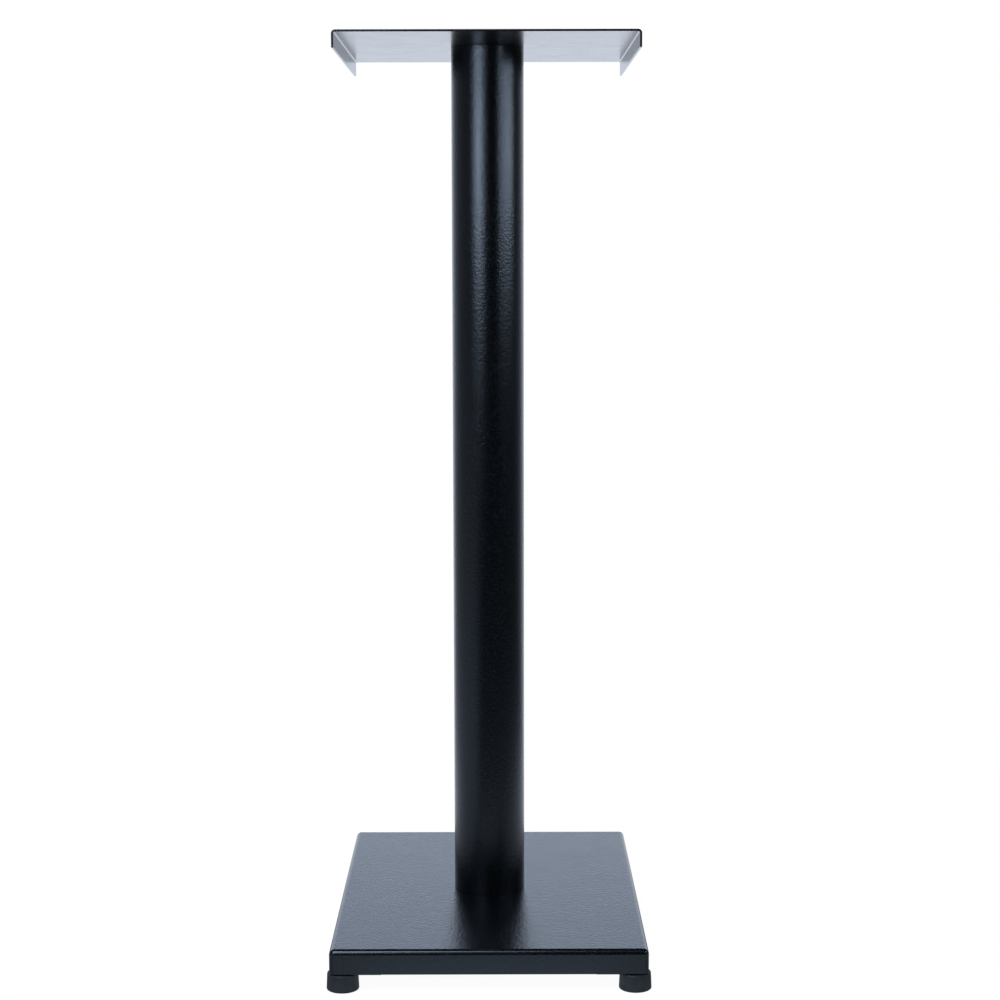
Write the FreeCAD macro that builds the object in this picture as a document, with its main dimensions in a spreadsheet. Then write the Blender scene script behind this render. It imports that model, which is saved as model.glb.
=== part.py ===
import FreeCAD, Part
import os

import Sketcher
from FreeCAD import Placement, Rotation, Vector

# Speaker stand: a folded steel top plate and a folded steel base tray, screwed to the two
# ends of a round column, on four rubber feet. Millimetres. The origin is on the floor under
# the column's axis; +Z is up, +X is to the right of a viewer in front, and the front is -Y.

os.makedirs("parts", exist_ok=True)
doc = FreeCAD.newDocument("SpeakerStand")

# ---------------------------------------------------------------- driving dimensions

DIMENSIONS = [
    ("stand_height", 872, "floor to the top plate's upper face"),
    ("gauge", 2, "thickness of the folded sheet steel"),
    ("cut_overrun", 1, "how far a cut runs past the piece that it cuts"),
    # top plate
    ("plate_width", 277, "across the two turned-down sides"),
    ("plate_depth", 300, "front edge to back edge"),
    ("plate_drop", 16, "height of the turned-down sides, plate included"),
    ("plate_bend", 3.5, "outer radius of the two bends"),
    # base tray
    ("tray_width", 294, "side to side, outside"),
    ("tray_depth", 390, "front to back, outside"),
    ("tray_height", 23, "height of the folded walls, top included"),
    ("tray_bend", 5, "outer radius of the bends and of the corners"),
    ("tray_clearance", 1, "from the feet's upper faces to the tray's lower edge"),
    # column
    ("tube_radius", 35, "outside of the column tube"),
    ("tube_wall", 2, "wall of the column tube"),
    ("tube_chamfer", 0.4, "broken edge at the tube's ends"),
    ("disc_height", 8, "thickness of the discs welded into the tube's ends"),
    ("bolt_circle", 44, "circle of the column's screws and bolts"),
    # reinforcing plate under the tray
    ("doubler_side", 110, "side of the square plate"),
    ("doubler_height", 3, "thickness"),
    ("doubler_corner", 8, "corner radius"),
    # corner plates that carry the feet
    ("gusset_side", 46, "length along each wall"),
    ("gusset_cut", 26, "length cut off the inner corner along each side"),
    ("gusset_height", 3, "thickness"),
    # rubber feet
    ("foot_height", 16, "floor to the corner plate that the foot bears on"),
    ("foot_inset", 12, "from the tray's outside to the foot's axis, both ways"),
    ("foot_floor_radius", 15.2, "at the floor"),
    ("foot_top_radius", 14.4, "at the corner plate"),
    ("foot_floor_round", 1.2, "rounding of the floor edge"),
    ("foot_top_round", 1.2, "rounding of the top edge"),
    ("foot_recess_radius", 6.5, "pocket for the screw head"),
    ("foot_recess_depth", 6.8, "floor to the moulded-in washer"),
    # M6 countersunk screws of the top plate
    ("top_screw_radius", 3, "M6 shank and tapped hole"),
    ("top_screw_length", 12, "head included"),
    ("top_screw_head", 6, "radius of the head's upper face"),
    ("top_screw_sunk", 0.2, "head below the plate's face"),
    ("top_screw_tip", 0.6, "bevel at the end of the shank"),
    ("top_screw_socket", 4, "hexagon socket across flats"),
    ("top_screw_socket_depth", 2, "depth of the socket"),
    # M8 hexagon bolts of the base
    ("base_bolt_radius", 4, "M8 shank and tapped hole"),
    ("base_bolt_length", 16, "under the head"),
    ("base_bolt_flats", 13, "head across flats"),
    ("base_bolt_head", 5.3, "head height"),
    ("base_bolt_bevel", 0.8, "bevel of the head's corners and of the shank's end"),
    ("base_bolt_clearance", 0.25, "hole radius over bolt radius"),
    ("lock_washer_radius", 7.2, "spring washer"),
    ("lock_washer_height", 2, "spring washer"),
    ("lock_washer_split", 2, "width of the split"),
    ("flat_washer_radius", 8, "flat washer"),
    ("flat_washer_height", 1.6, "flat washer"),
    # M5 screws of the feet
    ("foot_screw_radius", 2.5, "M5 shank"),
    ("foot_screw_length", 16, "under the head"),
    ("foot_screw_head", 4.75, "radius of the pan head"),
    ("foot_screw_head_height", 3.1, "pan head"),
    ("foot_screw_head_round", 1.2, "rounding of the pan head"),
    ("foot_screw_cross_width", 1.3, "width of each arm of the cross recess"),
    ("foot_screw_cross_length", 5, "length of each arm of the cross recess"),
    ("foot_screw_cross_depth", 1.6, "depth of the cross recess"),
    ("foot_screw_clearance", 0.25, "hole radius over screw radius"),
    ("foot_washer_radius", 8, "steel washer moulded into the foot"),
    ("foot_washer_height", 1.2, "thickness"),
    ("foot_nut_flats", 8, "M5 weld nut across flats"),
    ("foot_nut_height", 4, "M5 weld nut"),
]

sheet = doc.addObject("Spreadsheet::Sheet", "dims")
for row, (alias, number, meaning) in enumerate(DIMENSIONS, start=1):
    sheet.set(f"A{row}", alias)
    sheet.set(f"B{row}", str(number))
    sheet.set(f"C{row}", meaning)
    sheet.setAlias(f"B{row}", alias)
doc.recompute()

# Lengths that several pieces share, as formulas on the sheet.
TRAY_EDGE = "(dims.foot_height + dims.tray_clearance)"
TRAY_TOP = f"({TRAY_EDGE} + dims.tray_height)"
DOUBLER_UNDERSIDE = f"({TRAY_TOP} - dims.gauge - dims.doubler_height)"
FLAT_WASHER_UNDERSIDE = f"({DOUBLER_UNDERSIDE} - dims.flat_washer_height)"
LOCK_WASHER_UNDERSIDE = f"({FLAT_WASHER_UNDERSIDE} - dims.lock_washer_height)"
PLATE_UNDERSIDE = "(dims.stand_height - dims.gauge)"
FOOT_X = "(dims.tray_width / 2 - dims.foot_inset)"
FOOT_Y = "(dims.tray_depth / 2 - dims.foot_inset)"
FOOT_WASHER_TOP = "(dims.foot_recess_depth + dims.foot_washer_height)"
BOLT_OFFSET = "(dims.bolt_circle / 2 / sqrt(2))"
BASE_HOLE = "(dims.base_bolt_radius + dims.base_bolt_clearance)"
FOOT_HOLE = "(dims.foot_screw_radius + dims.foot_screw_clearance)"

# Name of a corner, its side in X and in Y, and the turn in degrees that brings a front left
# piece round to it.
CORNERS = [
    ("front_left", -1, -1, 0),
    ("front_right", 1, -1, 90),
    ("rear_right", 1, 1, 180),
    ("rear_left", -1, 1, 270),
]

UP = Vector(0, 0, 1)
TINY = 1e-4  # tolerance for finding an edge by its place


def size(formula):
    """The present value of a sheet formula, as a plain number."""
    return float(sheet.evalExpression(formula))


# ---------------------------------------------------------------- bodies and sketches

def new_body(label, height="0"):
    """A sub-part whose own level zero stands at the given height over the floor."""
    body = doc.addObject("PartDesign::Body", label)
    body.Label = label
    body.AllowCompound = True
    body.setExpression("Placement.Base.z", height)
    return body


def origin_feature(body, role):
    return next(item for item in body.Origin.OriginFeatures if item.Role == role)


def new_sketch(body, name, plane, **offsets):
    """A sketch on one of the body's own planes, moved by formulas for its x, y and z."""
    sketch = body.newObject("Sketcher::SketchObject", name)
    sketch.AttachmentSupport = [(origin_feature(body, plane), "")]
    sketch.MapMode = "FlatFace"
    for axis, formula in offsets.items():
        sketch.setExpression(f"AttachmentOffset.Base.{axis}", formula)
    return sketch


def bind(sketch, constraint, name, formula):
    """Adds a named constraint and drives it by a formula."""
    index = sketch.addConstraint(constraint)
    sketch.renameConstraint(index, name)
    sketch.setExpression(f"Constraints.{name}", formula)


def add_loop(sketch, points):
    """Closed chain of straight lines through the points; returns the first line's index."""
    lines = []
    for start, end in zip(points, points[1:] + points[:1]):
        lines.append(sketch.addGeometry(Part.LineSegment(start, end)))
    for line, following in zip(lines, lines[1:] + lines[:1]):
        sketch.addConstraint(Sketcher.Constraint("Coincident", line, 2, following, 1))
    return lines[0]


def add_rectangle(sketch, width, depth):
    """Rectangle centred on the sketch's origin."""
    half_x = size(width) / 2
    half_y = size(depth) / 2
    first = add_loop(sketch, [
        Vector(-half_x, -half_y),
        Vector(half_x, -half_y),
        Vector(half_x, half_y),
        Vector(-half_x, half_y),
    ])
    for step, direction in enumerate(("Horizontal", "Vertical", "Horizontal", "Vertical")):
        sketch.addConstraint(Sketcher.Constraint(direction, first + step))
    sketch.addConstraint(Sketcher.Constraint("Symmetric", first, 1, first + 2, 1, -1, 1))
    across = Sketcher.Constraint("DistanceX", first, 1, first, 2, 2 * half_x)
    bind(sketch, across, "width", width)
    along = Sketcher.Constraint("DistanceY", first + 1, 1, first + 1, 2, 2 * half_y)
    bind(sketch, along, "depth", depth)


def add_circle(sketch, radius, name="circle_radius"):
    """Circle centred on the sketch's origin."""
    circle = sketch.addGeometry(Part.Circle(Vector(), UP, size(radius)))
    sketch.addConstraint(Sketcher.Constraint("Coincident", circle, 3, -1, 1))
    bind(sketch, Sketcher.Constraint("Radius", circle, size(radius)), name, radius)
    return circle


def add_hexagon(sketch, flats):
    """Regular hexagon centred on the sketch's origin, given across its flats."""
    reach = f"{flats} / sqrt(3)"
    corner = Vector(size(reach), 0, 0)
    first = add_loop(sketch, [Rotation(UP, 60 * turn).multVec(corner) for turn in range(6)])
    guide = add_circle(sketch, reach, "corner_radius")
    sketch.toggleConstruction(guide)
    for side in range(first, first + 6):
        sketch.addConstraint(Sketcher.Constraint("PointOnObject", side, 1, guide))
    for side in range(first + 1, first + 6):
        sketch.addConstraint(Sketcher.Constraint("Equal", first, side))
    sketch.addConstraint(Sketcher.Constraint("Horizontal", first + 1))


def add_profile(sketch, corners):
    """Closed outline whose corners are pairs of formulas, none of them negative."""
    points = [Vector(size(across), size(up)) for across, up in corners]
    first = add_loop(sketch, points)
    for step, (point, corner) in enumerate(zip(points, corners)):
        line = first + step
        for letter, place, formula, axis in zip("XY", (point.x, point.y), corner, (-2, -1)):
            if place == 0:
                sketch.addConstraint(Sketcher.Constraint("PointOnObject", line, 1, axis))
            else:
                distance = Sketcher.Constraint(f"Distance{letter}", -1, 1, line, 1, place)
                bind(sketch, distance, f"corner{step}{letter}", formula)


# ---------------------------------------------------------------- features

def finish_feature(body, feature):
    """Makes a feature the body's result, computed so that the next one can read it."""
    body.Tip = feature
    doc.recompute()
    return feature


def finish_cut(body, feature):
    """The same for a feature that has to take material away."""
    before = body.Shape.Volume
    finish_feature(body, feature)
    if body.Shape.Volume > before - TINY:
        raise RuntimeError(f"{feature.Name} cuts nothing")
    return feature


def pad(body, name, sketch, length):
    feature = body.newObject("PartDesign::Pad", name)
    feature.Profile = sketch
    feature.setExpression("Length", length)
    return finish_feature(body, feature)


def pocket(body, name, sketch, depth, upwards=False):
    feature = body.newObject("PartDesign::Pocket", name)
    feature.Profile = sketch
    feature.Reversed = upwards
    feature.setExpression("Length", depth)
    return finish_cut(body, feature)


def revolve(body, name, sketch):
    """Turns a profile once round the sketch's upright axis."""
    feature = body.newObject("PartDesign::Revolution", name)
    feature.Profile = sketch
    feature.ReferenceAxis = (sketch, ["V_Axis"])
    feature.Angle = 360
    return finish_feature(body, feature)


def groove(body, name, sketch):
    """Cuts with a profile turned once round the sketch's upright axis."""
    feature = body.newObject("PartDesign::Groove", name)
    feature.Profile = sketch
    feature.ReferenceAxis = (sketch, ["V_Axis"])
    feature.Angle = 360
    return finish_cut(body, feature)


def fillet(body, name, radius, wanted):
    """Rounds the edges of the body that the test picks out."""
    return round_edges(body, "PartDesign::Fillet", name, "Radius", radius, wanted)


def chamfer(body, name, width, wanted):
    """Bevels the edges of the body that the test picks out."""
    return round_edges(body, "PartDesign::Chamfer", name, "Size", width, wanted)


def round_edges(body, kind, name, property_name, formula, wanted):
    base = body.Tip
    edges = enumerate(base.Shape.Edges, start=1)
    names = [f"Edge{number}" for number, edge in edges if wanted(edge)]
    if not names:
        raise RuntimeError(f"{name} finds no edge")
    feature = body.newObject(kind, name)
    feature.Base = (base, names)
    feature.setExpression(property_name, formula)
    return finish_feature(body, feature)


def around_column(body, name, *originals):
    """Four of each original feature, evenly round the column's axis."""
    feature = body.newObject("PartDesign::PolarPattern", name)
    feature.Originals = originals
    feature.Axis = (origin_feature(body, "Z_Axis"), [""])
    feature.Angle = 360
    feature.Occurrences = 4
    return finish_feature(body, feature)


def at_four_feet(body, name, *originals):
    """Each original feature at all four feet, mirrored about both middle planes."""
    pattern = body.newObject("PartDesign::MultiTransform", name)
    pattern.Originals = originals
    mirrors = []
    for plane in ("YZ_Plane", "XZ_Plane"):
        mirror = body.newObject("PartDesign::Mirrored", f"{name}_{plane[:2]}")
        mirror.MirrorPlane = (origin_feature(body, plane), [""])
        mirrors.append(mirror)
    pattern.Transformations = mirrors
    return finish_feature(body, pattern)


def drill_bolt_holes(body, name, radius, height):
    """Four round holes on the bolt circle, through a sheet that starts at level zero."""
    hole = new_sketch(body, f"{name}_outline", "XY_Plane", x=BOLT_OFFSET, y=BOLT_OFFSET)
    add_circle(hole, radius)
    first = pocket(body, name, hole, height, upwards=True)
    around_column(body, f"{name}_pattern", first)


# ---------------------------------------------------------------- tests that pick edges

def is_level(edge, height):
    box = edge.BoundBox
    return abs(box.ZMin - height) < TINY and abs(box.ZMax - height) < TINY


def is_upright(edge):
    box = edge.BoundBox
    return box.XLength < TINY and box.YLength < TINY


def runs_along_y(edge):
    box = edge.BoundBox
    return box.XLength < TINY and box.ZLength < TINY


def is_circle(edge, radius):
    return edge.Curve.TypeId == "Part::GeomCircle" and abs(edge.Curve.Radius - radius) < TINY


def is_inside(edge, half_width, half_depth):
    """Within a rectangle round the origin, its sides included."""
    box = edge.BoundBox
    reach_x = max(abs(box.XMin), abs(box.XMax))
    reach_y = max(abs(box.YMin), abs(box.YMax))
    return reach_x < half_width + TINY and reach_y < half_depth + TINY


# ---------------------------------------------------------------- folded sheets

def make_top_plate():
    """Sheet with two sides turned down and four countersunk holes over the column."""
    body = new_body("top_plate", "dims.stand_height - dims.plate_drop")
    outline = new_sketch(body, "plate_outline", "XY_Plane")
    add_rectangle(outline, "dims.plate_width", "dims.plate_depth")
    pad(body, "plate_blank", outline, "dims.plate_drop")
    fillet(body, "plate_outer_bends", "dims.plate_bend",
           lambda edge: runs_along_y(edge) and is_level(edge, size("dims.plate_drop")))
    channel = new_sketch(body, "plate_channel", "XY_Plane")
    add_rectangle(channel, "dims.plate_width - 2 * dims.gauge", "dims.plate_depth + dims.cut_overrun")
    pocket(body, "plate_hollow", channel, "dims.plate_drop - dims.gauge", upwards=True)
    fillet(body, "plate_inner_bends", "dims.plate_bend - dims.gauge",
           lambda edge: runs_along_y(edge) and is_level(edge, size("dims.plate_drop - dims.gauge")))
    sink = new_sketch(body, "plate_sink_outline", "XZ_Plane", x=BOLT_OFFSET, z=BOLT_OFFSET)
    rim = "(dims.top_screw_head + dims.top_screw_sunk)"
    add_profile(sink, [
        ("0", "dims.plate_drop - dims.gauge"),
        (f"{rim} - dims.gauge", "dims.plate_drop - dims.gauge"),
        (rim, "dims.plate_drop"),
        ("0", "dims.plate_drop"),
    ])
    first = groove(body, "plate_sink", sink)
    around_column(body, "plate_sinks", first)
    return body


def make_base_tray():
    """Sheet with all four sides turned down, its corners closed by welding."""
    body = new_body("base_tray", TRAY_EDGE)
    outline = new_sketch(body, "tray_outline", "XY_Plane")
    add_rectangle(outline, "dims.tray_width", "dims.tray_depth")
    pad(body, "tray_blank", outline, "dims.tray_height")
    hollow = new_sketch(body, "tray_hollow_outline", "XY_Plane")
    add_rectangle(hollow, "dims.tray_width - 2 * dims.gauge", "dims.tray_depth - 2 * dims.gauge")
    pocket(body, "tray_hollow", hollow, "dims.tray_height - dims.gauge", upwards=True)
    inner_x = size("dims.tray_width / 2 - dims.gauge")
    inner_y = size("dims.tray_depth / 2 - dims.gauge")
    ceiling = size("dims.tray_height - dims.gauge")
    fillet(body, "tray_inner_bends", "dims.tray_bend - dims.gauge",
           lambda edge: is_inside(edge, inner_x, inner_y)
           and (is_upright(edge) or is_level(edge, ceiling)))
    fillet(body, "tray_outer_bends", "dims.tray_bend",
           lambda edge: is_level(edge, size("dims.tray_height"))
           or (is_upright(edge) and not is_inside(edge, inner_x, inner_y)))
    drill_bolt_holes(body, "tray_holes", BASE_HOLE, "dims.tray_height")
    return body


def make_base_doubler():
    """Square plate under the tray that spreads the column's load."""
    body = new_body("base_doubler_plate", DOUBLER_UNDERSIDE)
    outline = new_sketch(body, "doubler_outline", "XY_Plane")
    add_rectangle(outline, "dims.doubler_side", "dims.doubler_side")
    pad(body, "doubler_blank", outline, "dims.doubler_height")
    fillet(body, "doubler_corners", "dims.doubler_corner", is_upright)
    drill_bolt_holes(body, "doubler_holes", BASE_HOLE, "dims.doubler_height")
    return body


def make_gusset(corner, side_x, side_y, turn):
    """Corner plate inside the tray, a little below its lower edge, with a foot's screw hole."""
    body = new_body(f"corner_gusset_{corner}", "dims.foot_height")
    body.setExpression("Placement.Base.x", f"{side_x} * (dims.tray_width / 2 - dims.gauge)")
    body.setExpression("Placement.Base.y", f"{side_y} * (dims.tray_depth / 2 - dims.gauge)")
    body.Placement.Rotation = Rotation(UP, turn)
    outline = new_sketch(body, f"gusset_outline_{corner}", "XY_Plane")
    add_profile(outline, [
        ("0", "0"),
        ("dims.gusset_side", "0"),
        ("dims.gusset_side", "dims.gusset_side - dims.gusset_cut"),
        ("dims.gusset_side - dims.gusset_cut", "dims.gusset_side"),
        ("0", "dims.gusset_side"),
    ])
    pad(body, f"gusset_blank_{corner}", outline, "dims.gusset_height")
    fillet(body, f"gusset_corner_{corner}", "dims.tray_bend - dims.gauge",
           lambda edge: is_upright(edge) and is_inside(edge, 0, 0))
    hole_place = "dims.foot_inset - dims.gauge"
    hole = new_sketch(body, f"gusset_hole_{corner}", "XY_Plane", x=hole_place, y=hole_place)
    add_circle(hole, FOOT_HOLE)
    pocket(body, f"gusset_drilling_{corner}", hole, "dims.gusset_height", upwards=True)
    return body


# ---------------------------------------------------------------- column

def make_column_tube():
    body = new_body("column_tube", TRAY_TOP)
    outer = new_sketch(body, "tube_section", "XY_Plane")
    add_circle(outer, "dims.tube_radius", "outer_radius")
    add_circle(outer, "dims.tube_radius - dims.tube_wall", "inner_radius")
    pad(body, "tube_length", outer, f"{PLATE_UNDERSIDE} - {TRAY_TOP}")
    chamfer(body, "tube_broken_edges", "dims.tube_chamfer",
            lambda edge: is_circle(edge, size("dims.tube_radius")))
    return body


def make_end_disc(label, height, hole_radius):
    """Thick disc welded into an end of the tube, with four tapped holes."""
    body = new_body(label, height)
    outline = new_sketch(body, f"{label}_outline", "XY_Plane")
    add_circle(outline, "dims.tube_radius - dims.tube_wall")
    pad(body, f"{label}_blank", outline, "dims.disc_height")
    drill_bolt_holes(body, f"{label}_holes", hole_radius, "dims.disc_height")
    return body


def make_top_disc():
    """The upper disc, whose tapped holes are beveled to clear the screws' cones."""
    body = make_end_disc("column_top_disc", f"{PLATE_UNDERSIDE} - dims.disc_height",
                         "dims.top_screw_radius")
    bevel = "dims.top_screw_head + dims.top_screw_sunk - dims.gauge - dims.top_screw_radius"
    chamfer(body, "top_disc_bevels", bevel,
            lambda edge: is_circle(edge, size("dims.top_screw_radius"))
            and is_level(edge, size("dims.disc_height")))
    return body


def make_bottom_disc():
    return make_end_disc("column_bottom_disc", TRAY_TOP, "dims.base_bolt_radius")


# ---------------------------------------------------------------- column fasteners

def make_top_screws():
    """Four countersunk socket screws, their heads just under the plate's face."""
    body = new_body("top_plate_screws", "dims.stand_height - dims.top_screw_sunk"
                    " - dims.top_screw_length")
    taper = "(dims.top_screw_head - dims.top_screw_radius)"
    profile = new_sketch(body, "top_screw_profile", "XZ_Plane", x=BOLT_OFFSET, z=BOLT_OFFSET)
    add_profile(profile, [
        ("0", "0"),
        ("dims.top_screw_radius - dims.top_screw_tip", "0"),
        ("dims.top_screw_radius", "dims.top_screw_tip"),
        ("dims.top_screw_radius", f"dims.top_screw_length - {taper}"),
        ("dims.top_screw_head", "dims.top_screw_length"),
        ("0", "dims.top_screw_length"),
    ])
    turned = revolve(body, "top_screw_turned", profile)
    socket = new_sketch(body, "top_screw_socket_outline", "XY_Plane",
                        x=BOLT_OFFSET, y=f"-{BOLT_OFFSET}", z="dims.top_screw_length")
    add_hexagon(socket, "dims.top_screw_socket")
    broached = pocket(body, "top_screw_socket_cut", socket, "dims.top_screw_socket_depth")
    around_column(body, "top_screw_set", turned, broached)
    return body


def make_base_bolts():
    """Four hexagon bolts that hold the column from below."""
    body = new_body("base_bolts", f"{LOCK_WASHER_UNDERSIDE} - dims.base_bolt_head")
    head_outline = new_sketch(body, "base_bolt_hexagon", "XY_Plane", x=BOLT_OFFSET,
                              y=f"-{BOLT_OFFSET}")
    add_hexagon(head_outline, "dims.base_bolt_flats")
    head = pad(body, "base_bolt_head_blank", head_outline, "dims.base_bolt_head")
    corner = "dims.base_bolt_flats / sqrt(3)"
    bevel = new_sketch(body, "base_bolt_bevel_outline", "XZ_Plane", x=BOLT_OFFSET, z=BOLT_OFFSET)
    add_profile(bevel, [
        (f"{corner} - 2 * dims.base_bolt_bevel", "0"),
        (f"{corner} + dims.cut_overrun", "0"),
        (f"{corner} + dims.cut_overrun", "dims.base_bolt_bevel + dims.cut_overrun / 2"),
    ])
    beveled = groove(body, "base_bolt_bevel_cut", bevel)
    shank_profile = new_sketch(body, "base_bolt_shank_profile", "XZ_Plane",
                               x=BOLT_OFFSET, z=BOLT_OFFSET)
    tip = "dims.base_bolt_head + dims.base_bolt_length"
    add_profile(shank_profile, [
        ("0", "dims.base_bolt_head"),
        ("dims.base_bolt_radius", "dims.base_bolt_head"),
        ("dims.base_bolt_radius", f"{tip} - dims.base_bolt_bevel"),
        ("dims.base_bolt_radius - dims.base_bolt_bevel", tip),
        ("0", tip),
    ])
    shank = revolve(body, "base_bolt_shank", shank_profile)
    around_column(body, "base_bolt_set", head, beveled, shank)
    return body


def add_washer_ring(body, name, outer_radius, height, x, y):
    """Flat ring for an M8 bolt; returns the padded feature."""
    ring = new_sketch(body, f"{name}_ring", "XY_Plane", x=x, y=y)
    add_circle(ring, outer_radius, "outer_radius")
    add_circle(ring, BASE_HOLE, "inner_radius")
    return pad(body, f"{name}_blank", ring, height)


def make_flat_washers():
    body = new_body("base_flat_washers", FLAT_WASHER_UNDERSIDE)
    ring = add_washer_ring(body, "flat_washer", "dims.flat_washer_radius",
                           "dims.flat_washer_height", BOLT_OFFSET, BOLT_OFFSET)
    around_column(body, "flat_washer_set", ring)
    return body


def make_lock_washers():
    """Spring washers, each split on the side away from the column's axis."""
    body = new_body("base_spring_washers", LOCK_WASHER_UNDERSIDE)
    ring = add_washer_ring(body, "lock_washer", "dims.lock_washer_radius",
                           "dims.lock_washer_height", BOLT_OFFSET, BOLT_OFFSET)
    split = new_sketch(body, "lock_washer_split_outline", "XY_Plane",
                       x=f"{BOLT_OFFSET} + dims.lock_washer_radius", y=BOLT_OFFSET)
    add_rectangle(split, "2 * dims.lock_washer_radius - dims.base_bolt_radius",
                  "dims.lock_washer_split")
    slit = pocket(body, "lock_washer_slit", split, "dims.lock_washer_height", upwards=True)
    around_column(body, "lock_washer_set", ring, slit)
    return body


# ---------------------------------------------------------------- feet and their fasteners

def make_foot(corner, side_x, side_y):
    """Rubber foot with a pocket for the screw and a groove for the moulded-in washer."""
    body = new_body(f"foot_{corner}")
    body.setExpression("Placement.Base.x", f"{side_x} * {FOOT_X}")
    body.setExpression("Placement.Base.y", f"{side_y} * {FOOT_Y}")
    profile = new_sketch(body, f"foot_profile_{corner}", "XZ_Plane")
    add_profile(profile, [
        ("dims.foot_recess_radius", "0"),
        ("dims.foot_floor_radius", "0"),
        ("dims.foot_top_radius", "dims.foot_height"),
        (FOOT_HOLE, "dims.foot_height"),
        (FOOT_HOLE, FOOT_WASHER_TOP),
        ("dims.foot_washer_radius", FOOT_WASHER_TOP),
        ("dims.foot_washer_radius", "dims.foot_recess_depth"),
        ("dims.foot_recess_radius", "dims.foot_recess_depth"),
    ])
    revolve(body, f"foot_turned_{corner}", profile)
    fillet(body, f"foot_floor_edge_{corner}", "dims.foot_floor_round",
           lambda edge: is_circle(edge, size("dims.foot_floor_radius")))
    fillet(body, f"foot_top_edge_{corner}", "dims.foot_top_round",
           lambda edge: is_circle(edge, size("dims.foot_top_radius")))
    return body


def make_foot_washers():
    body = new_body("foot_washers", "dims.foot_recess_depth")
    ring = new_sketch(body, "foot_washer_ring", "XY_Plane", x=FOOT_X, y=FOOT_Y)
    add_circle(ring, "dims.foot_washer_radius", "outer_radius")
    add_circle(ring, FOOT_HOLE, "inner_radius")
    blank = pad(body, "foot_washer_blank", ring, "dims.foot_washer_height")
    at_four_feet(body, "foot_washer_set", blank)
    return body


def make_foot_screws():
    """Pan head screws with a cross recess, driven up through the feet."""
    body = new_body("foot_screws", "dims.foot_recess_depth - dims.foot_screw_head_height")
    profile = new_sketch(body, "foot_screw_profile", "XZ_Plane", x=FOOT_X, z=FOOT_Y)
    tip = "dims.foot_screw_head_height + dims.foot_screw_length"
    add_profile(profile, [
        ("0", "0"),
        ("dims.foot_screw_head - dims.foot_screw_head_round", "0"),
        ("dims.foot_screw_head", "dims.foot_screw_head_round"),
        ("dims.foot_screw_head", "dims.foot_screw_head_height"),
        ("dims.foot_screw_radius", "dims.foot_screw_head_height"),
        ("dims.foot_screw_radius", tip),
        ("0", tip),
    ])
    turned = revolve(body, "foot_screw_turned", profile)
    arms = []
    for name, width, depth in (("x", "length", "width"), ("y", "width", "length")):
        arm = new_sketch(body, f"foot_screw_cross_{name}", "XY_Plane", x=FOOT_X, y=f"-{FOOT_Y}")
        add_rectangle(arm, f"dims.foot_screw_cross_{width}", f"dims.foot_screw_cross_{depth}")
        arms.append(pocket(body, f"foot_screw_arm_{name}", arm, "dims.foot_screw_cross_depth",
                           upwards=True))
    at_four_feet(body, "foot_screw_set", turned, *arms)
    return body


def make_foot_nuts():
    """Hexagon nuts welded on top of the corner plates."""
    body = new_body("foot_weld_nuts", "dims.foot_height + dims.gusset_height")
    outline = new_sketch(body, "foot_nut_outline", "XY_Plane", x=FOOT_X, y=FOOT_Y)
    add_hexagon(outline, "dims.foot_nut_flats")
    add_circle(outline, "dims.foot_screw_radius", "thread_radius")
    nut = pad(body, "foot_nut_blank", outline, "dims.foot_nut_height")
    at_four_feet(body, "foot_nut_set", nut)
    return body


# ---------------------------------------------------------------- the assembly

stand = [
    make_top_plate(),
    make_top_screws(),
    make_column_tube(),
    make_top_disc(),
    make_bottom_disc(),
    make_base_tray(),
    make_base_doubler(),
    make_base_bolts(),
    make_lock_washers(),
    make_flat_washers(),
    make_foot_washers(),
    make_foot_screws(),
    make_foot_nuts(),
]
for corner, side_x, side_y, turn in CORNERS:
    stand.append(make_gusset(corner, side_x, side_y, turn))
    stand.append(make_foot(corner, side_x, side_y))
doc.recompute()

for item in doc.Objects:
    if "Invalid" in item.State or "Error" in item.State:
        raise RuntimeError(f"{item.Name} failed: {item.State}")
for piece in stand:
    if piece.Shape.isNull() or not piece.Shape.isValid():
        raise RuntimeError(f"{piece.Label} has no valid shape")

for piece in stand:
    piece.Shape.exportStep(f"parts/{piece.Label}.step")
    box = piece.Shape.BoundBox
    print(f"{piece.Label}: {len(piece.Shape.Solids)} solid(s), {piece.Shape.Volume:.0f} mm3, "
          f"z {box.ZMin:.2f} to {box.ZMax:.2f}")
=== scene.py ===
import math

import bmesh
import bpy
from mathutils import Matrix, Vector


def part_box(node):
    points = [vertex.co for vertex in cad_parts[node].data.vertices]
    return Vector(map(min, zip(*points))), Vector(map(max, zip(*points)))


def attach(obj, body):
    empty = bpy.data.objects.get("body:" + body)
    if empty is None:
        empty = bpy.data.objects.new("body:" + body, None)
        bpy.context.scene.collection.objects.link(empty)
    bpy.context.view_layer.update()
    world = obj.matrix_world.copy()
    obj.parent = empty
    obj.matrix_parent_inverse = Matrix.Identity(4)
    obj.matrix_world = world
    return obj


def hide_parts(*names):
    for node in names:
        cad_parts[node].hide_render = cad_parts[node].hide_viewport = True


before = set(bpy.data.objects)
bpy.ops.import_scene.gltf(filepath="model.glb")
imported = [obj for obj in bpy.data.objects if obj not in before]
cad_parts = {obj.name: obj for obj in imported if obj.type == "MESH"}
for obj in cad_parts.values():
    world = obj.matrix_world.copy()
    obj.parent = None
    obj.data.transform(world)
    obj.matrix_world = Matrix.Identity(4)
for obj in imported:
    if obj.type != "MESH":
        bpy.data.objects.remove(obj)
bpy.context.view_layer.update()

# The looks of a speaker stand: a folded steel top plate and a folded steel base tray on the two
# ends of a round column, on four rubber feet. Metres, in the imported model's frame: the origin is
# on the floor under the column, +Z is up, and the front is -Y.

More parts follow.
